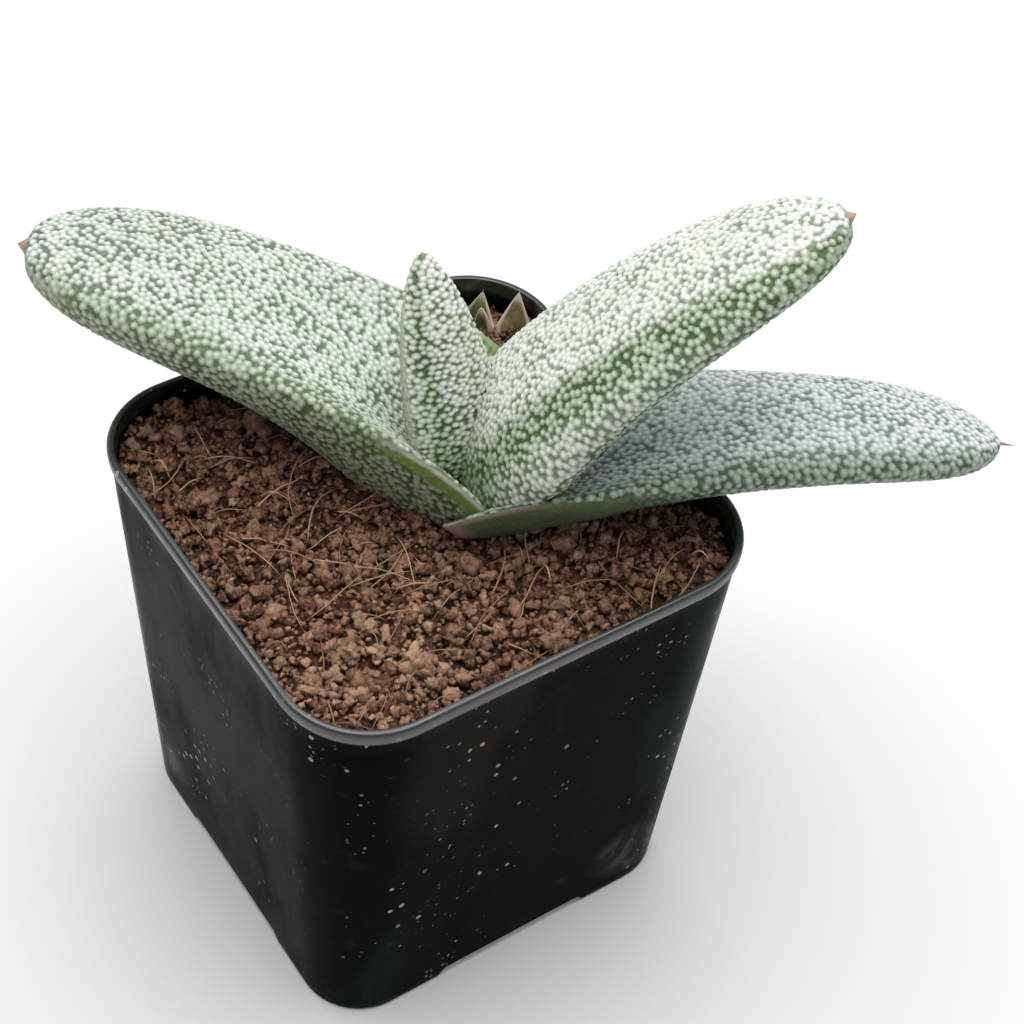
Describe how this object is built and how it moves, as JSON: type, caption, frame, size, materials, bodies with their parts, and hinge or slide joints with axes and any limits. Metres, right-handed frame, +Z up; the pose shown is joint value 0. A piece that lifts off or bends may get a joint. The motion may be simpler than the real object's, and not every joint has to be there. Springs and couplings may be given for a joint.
{
  "type": "potted gasteria plant",
  "caption": "Warty gasteria with thick tongue-shaped leaves and a small offset, growing in coir soil in a square black nursery pot.",
  "frame": {"origin": "middle of the whole object's footprint box, on the surface that the pot stands on", "axes": "+Z up; +X along the pot's side towards the two right-hand leaves' tips; +Y along the pot's other side, away from the viewer"},
  "size_m": [0.118, 0.0998, 0.1239],
  "materials": {
    "pot": "glossy black, thin, slightly scratched and dusty",
    "soil": "crumbly brown coir and peat with fine fibres",
    "leaf": "thick green leaf densely covered in raised whitish tubercles",
    "pup_leaf": "small green leaf with pale horny margins",
    "stem": "pale tan, fibrous"
  },
  "bodies": {
    "root": {"pot": "pot", "soil": "soil", "stem_with_roots": "stem", "leaf_lower_right": "leaf", "leaf_left": "leaf", "leaf_upper_right": "leaf", "leaf_centre": "leaf", "pup_stem": "stem", "pup_leaf_left": "pup_leaf", "pup_leaf_right": "pup_leaf", "pup_leaf_inner": "pup_leaf"}
  },
  "joints": []
}
